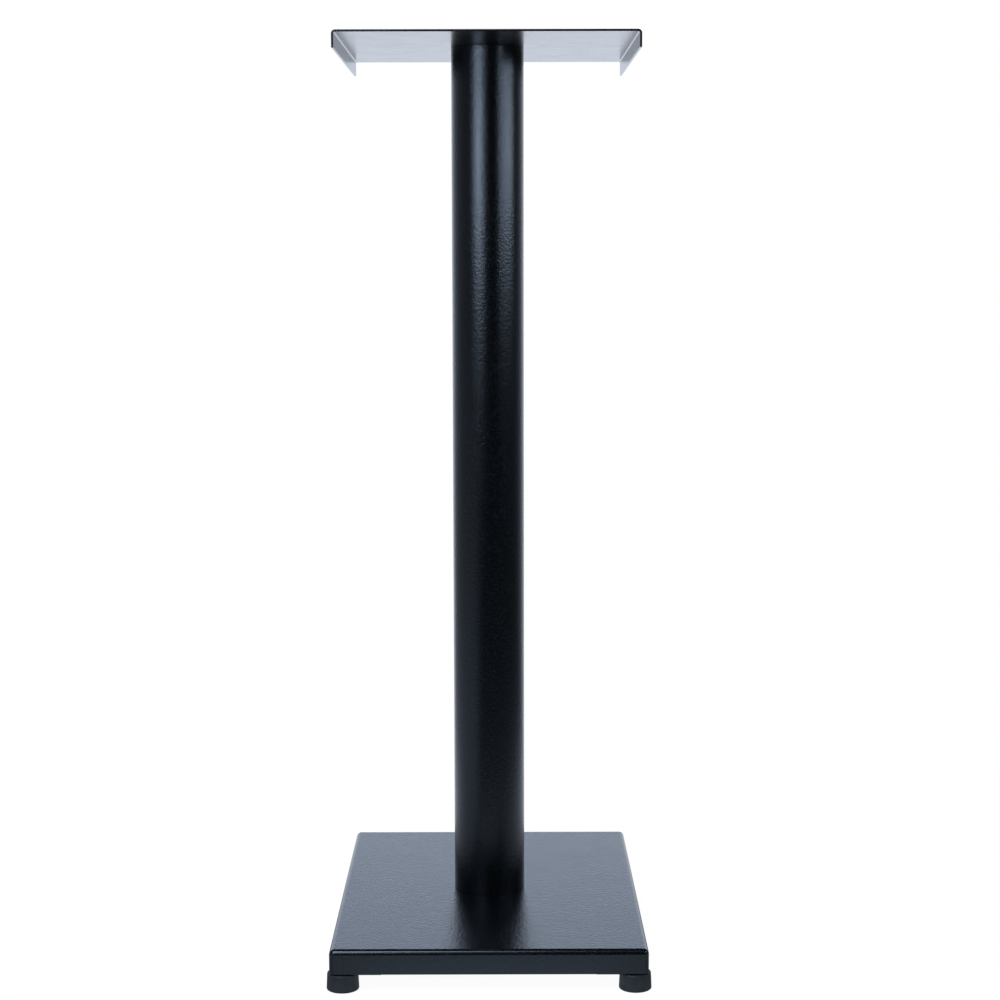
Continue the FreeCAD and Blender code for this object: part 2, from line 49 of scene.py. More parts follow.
BODY = "root"
MM = 0.001
QUARTER = math.pi / 2
CORNERS = {
    "front_left": (-1, -1),
    "front_right": (1, -1),
    "rear_right": (1, 1),
    "rear_left": (-1, 1),
}

# ---------------------------------------------------------------- sizes

GAUGE = 2 * MM
CUT_EDGE = 0.35 * MM  # rounding of a coated edge of cut sheet
PLATE_BEND = 3.5 * MM
TRAY_BEND = 5 * MM

TUBE_WALL = 2 * MM
TUBE_OUTER_EDGE = 0.4 * MM
TUBE_INNER_EDGE = 0.2 * MM
BOLT_CIRCLE_RADIUS = 22 * MM
BASE_HOLE_RADIUS = 4.25 * MM

DOUBLER_CORNER = 8 * MM
GUSSET_CUT = 26 * MM
GUSSET_OUTER_CORNER = 2 * MM
FOOT_HOLE_RADIUS = 2.75 * MM

FOOT_TOP_RADIUS = 14.4 * MM
FOOT_FLOOR_ROUND = 1.2 * MM
FOOT_TOP_ROUND = 1.2 * MM
FOOT_POCKET_RADIUS = 6.5 * MM
FOOT_POCKET_MOUTH = 0.5 * MM

TOP_SCREW_HEAD = 6 * MM
TOP_SCREW_SHANK = 3 * MM
TOP_SCREW_SUNK = 0.2 * MM
TOP_SCREW_SOCKET = 4 * MM
TOP_SCREW_SOCKET_DEPTH = 2 * MM
SOCKET_BEVEL_DEPTH = 0.35 * MM
SOCKET_BEVEL_RISE = 0.1 * MM  # how far the bevel's tool stands out of the head

BASE_BOLT_SHANK = 4 * MM
BASE_BOLT_FLATS = 13 * MM
BASE_BOLT_HEAD = 5.3 * MM
HEXAGON_BEVEL = math.radians(30)
SPLIT_WIDTH = 1.6 * MM
SPLIT_SLANT = 0.9  # how far the split leans, as a share of the washer's thickness

FOOT_SCREW_SHANK = 2.5 * MM
FOOT_SCREW_HEAD_HEIGHT = 3.1 * MM
FOOT_SCREW_HEAD_ROUND = 1.4 * MM
CROSS_LENGTH = 5 * MM
CROSS_WIDTH = 1.3 * MM
CROSS_DEPTH = 1.6 * MM
CROSS_NARROWING = 0.72  # width at the bottom of the recess, as a share of its mouth's
FOOT_NUT_FLATS = 8 * MM

BEAD_RADIUS = 1.7 * MM
BEAD_RIPPLE = 1.4 * MM
BEAD_UNEVENNESS = 0.3 * MM
BEAD_LENGTH = 18 * MM
BEAD_SPACING = 56 * MM

EDGE_STEPS = 4  # facets in the rounding of an edge
BEND_STEPS = 12  # facets in a quarter bend of the sheet
BEAD_STEPS = 10
COLUMN_STEPS = 256
FOOT_STEPS = 96
FASTENER_STEPS = 64
SAME_POINT = 1e-6  # points closer than this are one point


# ---------------------------------------------------------------- outlines

def rounded_outline(corners, steps=EDGE_STEPS):
    """Closed outline through (across, up, radius) corners, each one an arc of its radius."""
    outline = []
    for index, (across, up, radius) in enumerate(corners):
        here = Vector((across, up))
        if radius < 1e-8:
            outline.extend([here] * (steps + 1))
            continue
        back = (Vector(corners[index - 1][:2]) - here).normalized()
        ahead = (Vector(corners[(index + 1) % len(corners)][:2]) - here).normalized()
        half = back.angle(ahead) / 2
        middle = here + (back + ahead).normalized() * (radius / math.sin(half))
        start = here + back * (radius / math.tan(half)) - middle
        turn = -start.angle_signed(here + ahead * (radius / math.tan(half)) - middle)
        for step in range(steps + 1):
            outline.append(middle + Matrix.Rotation(turn * step / steps, 2) @ start)
    return outline


def inset_corners(corners, distance):
    """The same corners with every side moved inwards; the outline runs anticlockwise."""
    moved = []
    for index, (across, up, radius) in enumerate(corners):
        here = Vector((across, up))
        coming = (here - Vector(corners[index - 1][:2])).normalized()
        going = (Vector(corners[(index + 1) % len(corners)][:2]) - here).normalized()
        inwards = Vector((-coming.y, coming.x)) + Vector((-going.y, going.x))
        place = here + inwards * (distance / (1 + coming.dot(going)))
        turns_left = coming.cross(going) > 0
        moved.append((*place, max(0, radius - distance if turns_left else radius + distance)))
    return moved


def rectangle(half_width, half_depth, radius):
    """Corners of a rectangle about the origin."""
    return [
        (-half_width, -half_depth, radius),
        (half_width, -half_depth, radius),
        (half_width, half_depth, radius),
        (-half_width, half_depth, radius),
    ]


def hexagon(flats, radius):
    """Corners of a hexagon, given across its flats."""
    reach = flats / math.sqrt(3)
    angles = [math.radians(60 * side) for side in range(6)]
    return [(reach * math.cos(angle), reach * math.sin(angle), radius) for angle in angles]


# ---------------------------------------------------------------- meshes

def loft(rings, joined=False):
    """Closed shape through rings of points: flat ends, or the last ring joined to the first."""
    shape = bmesh.new()
    loops = [[shape.verts.new(point) for point in ring] for ring in rings]
    spans = list(zip(loops, loops[1:]))
    if joined:
        spans.append((loops[-1], loops[0]))
    for lower, upper in spans:
        for here in range(len(lower)):
            there = (here + 1) % len(lower)
            shape.faces.new((lower[here], lower[there], upper[there], upper[here]))
    if not joined:
        shape.faces.new(loops[0])
        shape.faces.new(loops[-1])
    bmesh.ops.remove_doubles(shape, verts=shape.verts, dist=SAME_POINT)
    bmesh.ops.recalc_face_normals(shape, faces=shape.faces)
    return shape


def slab(corners, low, high, edge=CUT_EDGE, lay=lambda across, up, along: (across, up, along)):
    """Plate with the given outline between two levels, all its edges rounded."""
    levels = []
    for step in range(EDGE_STEPS + 1):
        angle = QUARTER * step / EDGE_STEPS
        levels.append((edge * (1 - math.sin(angle)), edge * (1 - math.cos(angle))))
    rings = []
    for inset, rise in levels:
        outline = rounded_outline(inset_corners(corners, inset))
        rings.append([lay(across, up, low + rise) for across, up in outline])
    for inset, rise in reversed(levels):
        outline = rounded_outline(inset_corners(corners, inset))
        rings.append([lay(across, up, high - rise) for across, up in outline])
    return loft(rings)


def turned(corners, steps, centre=(0, 0)):
    """Section of (radius, height, rounding) corners carried once round an upright axis."""
    outline = rounded_outline(corners)
    rings = []
    for step in range(steps):
        angle = 2 * math.pi * step / steps
        rings.append([
            (centre[0] + out * math.cos(angle), centre[1] + out * math.sin(angle), height)
            for out, height in outline
        ])
    return loft(rings, joined=True)


def new_piece(shape, name):
    """Object for a bmesh, at the origin."""
    mesh = bpy.data.meshes.new(name)
    shape.to_mesh(mesh)
    shape.free()
    piece = bpy.data.objects.new(name, mesh)
    bpy.context.scene.collection.objects.link(piece)
    return piece


def settle(piece):
    """Makes the evaluated shape the piece's own plain mesh and drops its modifiers."""
    graph = bpy.context.evaluated_depsgraph_get()
    mesh = bpy.data.meshes.new_from_object(
        piece.evaluated_get(graph), preserve_all_data_layers=True, depsgraph=graph)
    piece.modifiers.clear()
    before = piece.data
    piece.data = mesh
    bpy.data.meshes.remove(before)
    mesh.name = piece.name
    return piece


def combine(piece, tool_shape, operation="DIFFERENCE"):
    """Cuts, joins or trims a piece with another closed shape."""
    tool = new_piece(tool_shape, f"{piece.name}_tool")
    modifier = piece.modifiers.new("combine", "BOOLEAN")
    modifier.operation = operation
    modifier.solver = "EXACT"
    modifier.object = tool
    settle(piece)
    bpy.data.objects.remove(tool)
    return piece


def even_shading(piece):
    """Smooth shading in which the large flat faces stay flat up to their rounded edges."""
    piece.data.shade_smooth()
    modifier = piece.modifiers.new("weights", "WEIGHTED_NORMAL")
    modifier.mode = "FACE_AREA"
    modifier.weight = 100
    settle(piece)
    return piece


def dress(piece, material, slot, *nodes):
    """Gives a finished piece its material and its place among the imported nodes."""
    piece.data.materials.clear()
    piece.data.materials.append(material)
    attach(piece, BODY)
    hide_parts(*nodes)
    return piece


# ---------------------------------------------------------------- node trees

def add(tree, kind, inputs=None, **settings):
    """New node in a tree; an input is given a value, or an output to be linked to."""
    node = tree.nodes.new(kind)
    for name, value in settings.items():
        setattr(node, name, value)
    for key, value in (inputs or {}).items():
        if isinstance(value, bpy.types.NodeSocket):
            tree.links.new(value, node.inputs[key])
        else:
            node.inputs[key].default_value = value
    return node


def math_node(tree, operation, *values):
    return add(tree, "ShaderNodeMath", dict(enumerate(values)), operation=operation).outputs[0]


def mix_colours(tree, factor, first, second):
    node = add(tree, "ShaderNodeMix", {0: factor, 6: first, 7: second}, data_type="RGBA")
    return node.outputs[2]


def mapped(tree, value, low, high, new_low, new_high, smooth=True):
    """A value taken from one range to another, and held at the ends."""
    node = add(tree, "ShaderNodeMapRange", {
        "Value": value,
        "From Min": low,
        "From Max": high,
        "To Min": new_low,
        "To Max": new_high,
    }, interpolation_type="SMOOTHSTEP" if smooth else "LINEAR")
    return node.outputs["Result"]


def level_ramp(tree, value, stops):
    """Grey level read from (value, level) stops, straight between them."""
    first, last = stops[0][0], stops[-1][0]
    node = add(tree, "ShaderNodeValToRGB", {0: mapped(tree, value, first, last, 0.0, 1.0,
                                                      smooth=False)})
    elements = node.color_ramp.elements
    while len(elements) < len(stops):
        elements.new(0.5)
    for element, (place, level) in zip(elements, stops):
        element.position = (place - first) / (last - first)
        element.color = (level, level, level, 1)
    return node.outputs[0]


# ---------------------------------------------------------------- geometry nodes

def new_shape_tree(name, **sockets):
    """Geometry tree with a shape in, a shape out and named inputs for its sizes."""
    tree = bpy.data.node_groups.new(name, "GeometryNodeTree")
    tree.interface.new_socket("Geometry", in_out="INPUT", socket_type="NodeSocketGeometry")
    for label, kind in sockets.items():
        tree.interface.new_socket(
            label.replace("_", " "), in_out="INPUT", socket_type=f"NodeSocket{kind}")
    tree.interface.new_socket("Geometry", in_out="OUTPUT", socket_type="NodeSocketGeometry")
    return tree, add(tree, "NodeGroupInput").outputs


def end_shape_tree(tree, geometry, material):
    """Closes a tree: instances made real, then the material."""
    real = add(tree, "GeometryNodeRealizeInstances", {0: geometry})
    painted = add(tree, "GeometryNodeSetMaterial", {0: real.outputs[0], "Material": material})
    add(tree, "NodeGroupOutput", {0: painted.outputs[0]})


def run_shape_tree(piece, tree, **values):
    """Runs a tree on a piece and keeps the result as its plain mesh."""
    modifier = piece.modifiers.new(tree.name, "NODES")
    modifier.node_group = tree
    for item in tree.interface.items_tree:
        key = item.name.replace(" ", "_")
        if item.in_out == "INPUT" and key in values:
            modifier[item.identifier] = values[key]
    return settle(piece)


def make_column_tree():
    """The tube's wall section, an outline drawn flat, carried round an upright axis."""
    tree, given = new_shape_tree(
        "section_round_axis", Middle_Radius="Float", Steps_Round="Int", Material="Material")
    path = add(tree, "GeometryNodeCurvePrimitiveCircle", {
        "Resolution": given["Steps Round"],
        "Radius": given["Middle Radius"],
    }, mode="RADIUS")
    section = add(tree, "GeometryNodeMeshToCurve", {0: given["Geometry"]})
    wall = add(tree, "GeometryNodeCurveToMesh", {
        "Curve": path.outputs["Curve"],
        "Profile Curve": section.outputs[0],
    })
    end_shape_tree(tree, wall.outputs[0], given["Material"])
    return tree


def make_bolt_circle_tree():
    """Fasteners evenly round the column's axis, each turned a little at random."""
    tree, given = new_shape_tree(
        "fasteners_round_column", Count="Int", Circle_Radius="Float", First_Angle="Float",
        Loose_Turn="Float", Seed="Int", Material="Material")
    ring = add(tree, "GeometryNodeMeshCircle", {
        "Vertices": given["Count"],
        "Radius": given["Circle Radius"],
    })
    step = math_node(tree, "DIVIDE", 2 * math.pi, given["Count"])
    even = math_node(tree, "MULTIPLY", add(tree, "GeometryNodeInputIndex").outputs[0], step)
    turn = math_node(tree, "ADD", even, random_turn(tree, given))
    placed = place_fasteners(tree, ring.outputs["Mesh"], given["Geometry"], turn)
    aligned = add(tree, "GeometryNodeTransform", {
        "Geometry": placed,
        "Rotation": add(tree, "ShaderNodeCombineXYZ", {"Z": given["First Angle"]}).outputs[0],
    })
    end_shape_tree(tree, aligned.outputs[0], given["Material"])
    return tree


def make_feet_tree():
    """Fasteners over the four feet, each turned at random."""
    tree, given = new_shape_tree(
        "fasteners_at_feet", Spacing_Across="Float", Spacing_Along="Float", Loose_Turn="Float",
        Seed="Int", Material="Material")
    grid = add(tree, "GeometryNodeMeshGrid", {
        "Size X": given["Spacing Across"],
        "Size Y": given["Spacing Along"],
        "Vertices X": 2,
        "Vertices Y": 2,
    })
    placed = place_fasteners(
        tree, grid.outputs["Mesh"], given["Geometry"], random_turn(tree, given))
    end_shape_tree(tree, placed, given["Material"])
    return tree


def random_turn(tree, given):
    """Angle between minus and plus the loose turn, different at each point."""
    node = add(tree, "FunctionNodeRandomValue", {
        2: math_node(tree, "MULTIPLY", given["Loose Turn"], -1.0),
        3: given["Loose Turn"],
        "Seed": given["Seed"],
    }, data_type="FLOAT")
    return node.outputs[1]


def place_fasteners(tree, points, fastener, turn):
    """A fastener on every point, turned about its own upright axis."""
    upright = add(tree, "ShaderNodeCombineXYZ", {"Z": turn})
    node = add(tree, "GeometryNodeInstanceOnPoints", {
        "Points": points,
        "Instance": fastener,
        "Rotation": upright.outputs[0],
    })
    return node.outputs["Instances"]


def make_bead_tree():
    """Weld bead along each edge of a mesh: a round string with ripples and thinner ends."""
    tree, given = new_shape_tree(
        "weld_bead", Bead_Radius="Float", Ripple="Float", Unevenness="Float", Seed="Int",
        Material="Material")
    points_per_ripple = 6.0
    ripple_depth = 0.22
    end_share = 0.08  # of the bead's length, over which it grows from thin to full
    end_thickness = 0.35
    path = add(tree, "GeometryNodeMeshToCurve", {0: given["Geometry"]})
    fine = add(tree, "GeometryNodeResampleCurve", {
        "Curve": path.outputs[0],
        "Length": math_node(tree, "DIVIDE", given["Ripple"], points_per_ripple),
    }, mode="LENGTH")
    along = add(tree, "GeometryNodeSplineParameter").outputs
    ripples = math_node(
        tree, "FRACT", math_node(tree, "DIVIDE", along["Length"], given["Ripple"]))
    dip = math_node(tree, "MULTIPLY", math_node(tree, "POWER", ripples, 2.0), ripple_depth)
    starts = mapped(tree, along["Factor"], 0.0, end_share, end_thickness, 1.0)
    stops = mapped(tree, along["Factor"], 1 - end_share, 1.0, 1.0, end_thickness)
    ends = math_node(tree, "MULTIPLY", starts, stops)
    thick = math_node(tree, "MULTIPLY", ends, math_node(tree, "SUBTRACT", 1.0, dip))
    swollen = add(tree, "GeometryNodeSetCurveRadius", {
        "Curve": fine.outputs[0],
        "Radius": thick,
    })
    section = add(tree, "GeometryNodeCurvePrimitiveCircle", {
        "Resolution": BEAD_STEPS,
        "Radius": given["Bead Radius"],
    }, mode="RADIUS")
    string = add(tree, "GeometryNodeCurveToMesh", {
        "Curve": swollen.outputs[0],
        "Profile Curve": section.outputs["Curve"],
        "Scale": add(tree, "GeometryNodeInputRadius").outputs[0],
        "Fill Caps": True,
    })
    lumps_per_metre = 400.0
    lumps = add(tree, "ShaderNodeTexNoise", {
        "Scale": lumps_per_metre,
        "W": given["Seed"],
    }, noise_dimensions="4D")
    centred = add(tree, "ShaderNodeVectorMath", {
        0: lumps.outputs["Color"],
        1: (0.5, 0.5, 0.5),
    }, operation="SUBTRACT")
    shift = add(tree, "ShaderNodeVectorMath", {
        0: centred.outputs[0],
        "Scale": given["Unevenness"],
    }, operation="SCALE")
    uneven = add(tree, "GeometryNodeSetPosition", {
        "Geometry": string.outputs[0],
        "Offset": shift.outputs[0],
    })
    end_shape_tree(tree, uneven.outputs[0], given["Material"])
    return tree


COLUMN_TREE = make_column_tree()
BOLT_CIRCLE_TREE = make_bolt_circle_tree()
FEET_TREE = make_feet_tree()
BEAD_TREE = make_bead_tree()


# ---------------------------------------------------------------- finishes

COAT_GRAIN = 2.4 * MM
COAT_MOTTLE = 1.6 * MM
COAT_PATCH = 25 * MM
SHEET_WAVE = 40 * MM
SHEET_WAVE_DEPTH = 0.04 * MM
PEEL_DEPTH = 0.36 * MM
# How much of that depth a face gets, by how far it looks up, from -1 to 1: smooth below a sheet,
# rougher on upright faces, fine over a bend and full on top.
PEEL_BY_FACING = [(-1.0, 0.08), (-0.7, 0.08), (-0.2, 0.66), (0.2, 0.66), (0.5, 0.2), (0.9, 0.2),
                  (1.0, 1.0)]
TURNING_PITCH = 0.35 * MM  # from ring to ring on the turned discs


def new_finish(name):
    """Material with one shader; returns it with its tree and that shader."""
    material = bpy.data.materials.new(name)
    material.use_nodes = True
    tree = material.node_tree
    return material, tree, tree.nodes["Principled BSDF"]


def places(tree):
    """Position on the object, in metres, for patterns that stay where they are."""
    return add(tree, "ShaderNodeTexCoord").outputs["Object"]


def noise(tree, size, detail=2.0, roughness=0.5):
    """Noise whose features are about the given size, in metres."""
    return add(tree, "ShaderNodeTexNoise", {
        "Vector": places(tree),
        "Scale": 1 / size,
        "Detail": detail,
        "Roughness": roughness,
    }).outputs[0]


def bump(tree, height, distance, normal=None):
    """Normal of a surface raised by a height from 0 to 1, up to the given distance."""
    inputs = {"Height": height, "Distance": distance, "Strength": 1.0}
    if normal is not None:
        inputs["Normal"] = normal
    return add(tree, "ShaderNodeBump", inputs).outputs[0]


def upward_facing(tree):
    """How far a face looks up, from -1 to 1."""
    normal = add(tree, "ShaderNodeNewGeometry").outputs["Normal"]
    return add(tree, "ShaderNodeSeparateXYZ", {0: normal}).outputs["Z"]


def settled_dust(tree):
    """Small specks that lie on the faces that look up: 1 on a speck, 0 elsewhere."""
    cell = 24 * MM
    speck = 0.55 * MM
    share = 0.30  # of the cells that hold a speck
    cells = add(tree, "ShaderNodeTexVoronoi", {
        "Vector": places(tree),
        "Scale": 1 / cell,
    }, voronoi_dimensions="3D", feature="F1")
    dot = mapped(tree, cells.outputs["Distance"], speck / cell * 0.7, speck / cell, 1.0, 0.0)
    pick = add(tree, "ShaderNodeSeparateColor", {0: cells.outputs["Color"]}).outputs[0]
    kept = mapped(tree, pick, share, share + 0.01, 1.0, 0.0)
    upwards = mapped(tree, upward_facing(tree), 0.7, 0.9, 0.0, 1.0)
    return math_node(tree, "MULTIPLY", math_node(tree, "MULTIPLY", dot, kept), upwards)


def make_powder_coat():
    """Satin black coat on steel: a fine orange peel, faint rubbed patches and a little dust."""
    material, tree, shader = new_finish("satin_black_powder_coat")
    dust = settled_dust(tree)
    grain = noise(tree, COAT_GRAIN, detail=3.0, roughness=0.6)
    tone = mapped(tree, noise(tree, COAT_MOTTLE, detail=2.0), 0.5, 0.72, 0.0, 1.0)
    coat = mix_colours(tree, tone, (0.0002, 0.0004, 0.0008, 1), (0.0046, 0.0060, 0.0082, 1))
    colour = mix_colours(tree, dust, coat, (0.09, 0.10, 0.11, 1))
    rubbed = mapped(tree, noise(tree, COAT_PATCH, detail=3.0), 0.35, 0.7, 0.214, 0.228)
    fine = mapped(tree, grain, 0.3, 0.7, -0.008, 0.008)
    gloss = math_node(tree, "ADD", rubbed, fine)
    rough = math_node(tree, "ADD", gloss, math_node(tree, "MULTIPLY", dust, 0.4))
    waves = bump(tree, noise(tree, SHEET_WAVE, detail=1.0), SHEET_WAVE_DEPTH)
    thickness = level_ramp(tree, upward_facing(tree), PEEL_BY_FACING)
    peel = bump(tree, math_node(tree, "MULTIPLY", grain, thickness), PEEL_DEPTH, normal=waves)
    tree.links.new(colour, shader.inputs["Base Color"])
    tree.links.new(rough, shader.inputs["Roughness"])
    tree.links.new(peel, shader.inputs["Normal"])
    shader.inputs["IOR"].default_value = 1.5
    shader.inputs["Specular IOR Level"].default_value = 0.62
    shader.inputs["Specular Tint"].default_value = (0.72, 0.86, 1.0, 1)
    return material


def make_rubber():
    """Moulded black rubber: matt, with a fine grain."""
    material, tree, shader = new_finish("black_rubber")
    grain = noise(tree, 0.8 * MM, detail=3.0)
    colour = mix_colours(
        tree, mapped(tree, noise(tree, 9 * MM, detail=3.0), 0.35, 0.65, 0.0, 1.0),
        (0.008, 0.0093, 0.0112, 1), (0.013, 0.015, 0.0175, 1))
    tree.links.new(colour, shader.inputs["Base Color"])
    tree.links.new(mapped(tree, grain, 0.3, 0.7, 0.50, 0.64), shader.inputs["Roughness"])
    tree.links.new(bump(tree, grain, 0.02 * MM), shader.inputs["Normal"])
    shader.inputs["Specular Tint"].default_value = (0.7, 0.85, 1.0, 1)
    return material


def make_plated_steel():
    """Bright zinc plate, slightly clouded."""
    material, tree, shader = new_finish("zinc_plated_steel")
    cloud = noise(tree, 4 * MM, detail=4.0)
    colour = mix_colours(
        tree, mapped(tree, cloud, 0.35, 0.7, 0.0, 1.0), (0.62, 0.64, 0.66, 1),
        (0.50, 0.51, 0.51, 1))
    tree.links.new(colour, shader.inputs["Base Color"])
    tree.links.new(mapped(tree, cloud, 0.3, 0.7, 0.22, 0.40), shader.inputs["Roughness"])
    tree.links.new(bump(tree, noise(tree, 0.4 * MM), 0.004 * MM), shader.inputs["Normal"])
    shader.inputs["Metallic"].default_value = 1.0
    return material


def make_black_oxide():
    """Oiled black oxide on the top plate's screws."""
    material, tree, shader = new_finish("black_oxide_steel")
    cloud = noise(tree, 2 * MM, detail=4.0)
    colour = mix_colours(
        tree, mapped(tree, cloud, 0.35, 0.7, 0.0, 1.0), (0.030, 0.031, 0.033, 1),
        (0.055, 0.053, 0.052, 1))
    tree.links.new(colour, shader.inputs["Base Color"])
    tree.links.new(mapped(tree, cloud, 0.3, 0.7, 0.30, 0.46), shader.inputs["Roughness"])
    tree.links.new(bump(tree, noise(tree, 0.3 * MM), 0.004 * MM), shader.inputs["Normal"])
    shader.inputs["Metallic"].default_value = 0.85
    return material


def make_bare_steel():
    """Turned steel of the discs inside the column: fine rings round the axis."""
    material, tree, shader = new_finish("bare_steel")
    spot = add(tree, "ShaderNodeSeparateXYZ", {0: places(tree)})
    flat = add(tree, "ShaderNodeCombineXYZ", {"X": spot.outputs["X"], "Y": spot.outputs["Y"]})
    reach = add(tree, "ShaderNodeVectorMath", {0: flat.outputs[0]}, operation="LENGTH")
    rings = math_node(tree, "SINE", math_node(
        tree, "MULTIPLY", reach.outputs["Value"], 2 * math.pi / TURNING_PITCH))
    tint = mapped(tree, noise(tree, 15 * MM, detail=4.0), 0.35, 0.7, 0.0, 1.0)
    colour = mix_colours(tree, tint, (0.42, 0.41, 0.40, 1), (0.33, 0.31, 0.29, 1))
    tree.links.new(colour, shader.inputs["Base Color"])
    tree.links.new(mapped(tree, rings, -1.0, 1.0, 0.30, 0.44), shader.inputs["Roughness"])
    tree.links.new(bump(tree, rings, 0.006 * MM), shader.inputs["Normal"])
    shader.inputs["Metallic"].default_value = 1.0
    return material


POWDER_COAT = make_powder_coat()
RUBBER = make_rubber()
PLATED_STEEL = make_plated_steel()
BLACK_OXIDE = make_black_oxide()
BARE_STEEL = make_bare_steel()


# ---------------------------------------------------------------- folded sheets

def bolt_places():
    """The four places of the column's screws and bolts."""
    offset = BOLT_CIRCLE_RADIUS / math.sqrt(2)
    return [(side_x * offset, side_y * offset) for side_x, side_y in CORNERS.values()]


def drill(piece, centres, radius, low, high):
    """Round holes between two levels, a little beyond both."""
    for centre in centres:
        combine(piece, turned([
            (0, low - GAUGE, 0),
            (radius, low - GAUGE, 0),
            (radius, high + GAUGE, 0),
            (0, high + GAUGE, 0),
        ], FASTENER_STEPS, centre))
    return piece


def make_top_plate():
    """Sheet with its left and right sides turned down, countersunk over the column."""
    low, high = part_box("top_plate")
    section = [
        (low.x, low.z, CUT_EDGE),
        (low.x + GAUGE, low.z, CUT_EDGE),
        (low.x + GAUGE, high.z - GAUGE, PLATE_BEND - GAUGE),
        (high.x - GAUGE, high.z - GAUGE, PLATE_BEND - GAUGE),
        (high.x - GAUGE, low.z, CUT_EDGE),
        (high.x, low.z, CUT_EDGE),
        (high.x, high.z, PLATE_BEND),
        (low.x, high.z, PLATE_BEND),
    ]
    shape = slab(section, low.y, high.y, lay=lambda across, up, along: (across, along, up))
    piece = new_piece(shape, "top_plate_folded")
    mouth = TOP_SCREW_HEAD + TOP_SCREW_SUNK
    down = GAUGE * 1.5
    up = GAUGE * 0.5
    for place in bolt_places():
        combine(piece, turned([
            (0, high.z - down, 0),
            (mouth - down, high.z - down, 0),
            (mouth + up, high.z + up, 0),
            (0, high.z + up, 0),
        ], FASTENER_STEPS, place))
    return dress(even_shading(piece), POWDER_COAT, "black_powder_coat", "top_plate")


def make_base_tray():
    """Sheet with all four sides turned down and its corners welded and ground round."""
    low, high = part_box("base_tray")
    flat_x = high.x - TRAY_BEND
    flat_y = high.y - TRAY_BEND

    def ring(reach, level):
        outline = rounded_outline(rectangle(flat_x + reach, flat_y + reach, reach), BEND_STEPS)
        return [(x, y, level) for x, y in outline]

    rings = []
    bend = [QUARTER * step / BEND_STEPS for step in range(BEND_STEPS + 1)]
    lip = [QUARTER * step / EDGE_STEPS for step in range(EDGE_STEPS + 1)]
    inner = TRAY_BEND - GAUGE
    for angle in bend:
        rings.append(ring(TRAY_BEND * math.sin(angle),
                          high.z - TRAY_BEND + TRAY_BEND * math.cos(angle)))
    for angle in lip:
        rings.append(ring(TRAY_BEND - CUT_EDGE * (1 - math.cos(angle)),
                          low.z + CUT_EDGE * (1 - math.sin(angle))))
    for angle in reversed(lip):
        rings.append(ring(inner + CUT_EDGE * (1 - math.cos(angle)),
                          low.z + CUT_EDGE * (1 - math.sin(angle))))
    for angle in reversed(bend):
        rings.append(ring(inner * math.sin(angle), high.z - TRAY_BEND + inner * math.cos(angle)))
    piece = new_piece(loft(rings), "base_tray_folded")
    drill(piece, bolt_places(), BASE_HOLE_RADIUS, high.z - GAUGE, high.z)
    return dress(even_shading(piece), POWDER_COAT, "black_powder_coat", "base_tray")


def make_base_doubler():
    """Square plate under the tray, its corners rounded."""
    low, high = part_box("base_doubler_plate")
    piece = new_piece(slab(rectangle(high.x, high.y, DOUBLER_CORNER), low.z, high.z),
                      "base_doubler_cut")
    drill(piece, bolt_places(), BASE_HOLE_RADIUS, low.z, high.z)
    return dress(even_shading(piece), POWDER_COAT, "black_powder_coat", "base_doubler_plate")


def make_gusset(corner, side_x, side_y):
    """Corner plate inside the tray, with a foot's screw hole."""
    node = f"corner_gusset_{corner}"
    low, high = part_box(node)
    out = Vector((low.x if side_x < 0 else high.x, low.y if side_y < 0 else high.y))
    side = high.x - low.x
    corners = [
        (out.x, out.y, TRAY_BEND - GAUGE),
        (out.x - side_x * side, out.y, CUT_EDGE),
        (out.x - side_x * side, out.y - side_y * (side - GUSSET_CUT), GUSSET_OUTER_CORNER),
        (out.x - side_x * (side - GUSSET_CUT), out.y - side_y * side, GUSSET_OUTER_CORNER),
        (out.x, out.y - side_y * side, CUT_EDGE),
    ]
    if side_x * side_y < 0:
        corners.reverse()
    piece = new_piece(slab(corners, low.z, high.z), f"{node}_cut")
    foot_low, foot_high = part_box(f"foot_{corner}")
    centre = (foot_low + foot_high) / 2
    drill(piece, [(centre.x, centre.y)], FOOT_HOLE_RADIUS, low.z, high.z)
    return dress(even_shading(piece), POWDER_COAT, "black_powder_coat", node)


def make_doubler_welds():
    """Short beads that hold the doubler plate under the tray, two on each of its sides."""
    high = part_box("base_doubler_plate")[1]
    shape = bmesh.new()
    for side in range(4):
        turn = Matrix.Rotation(QUARTER * side, 3, "Z")
        for place in (-BEAD_SPACING / 2, BEAD_SPACING / 2):
            ends = [turn @ Vector((place + step * BEAD_LENGTH / 2, -high.y, high.z))
                    for step in (-1, 1)]
            shape.edges.new([shape.verts.new(end) for end in ends])
    piece = new_piece(shape, "base_doubler_welds")
    run_shape_tree(piece, BEAD_TREE, Bead_Radius=BEAD_RADIUS, Ripple=BEAD_RIPPLE,
                   Unevenness=BEAD_UNEVENNESS, Seed=6, Material=POWDER_COAT)
    even_shading(tidy_mesh(piece))
    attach(piece, BODY)


# ---------------------------------------------------------------- column

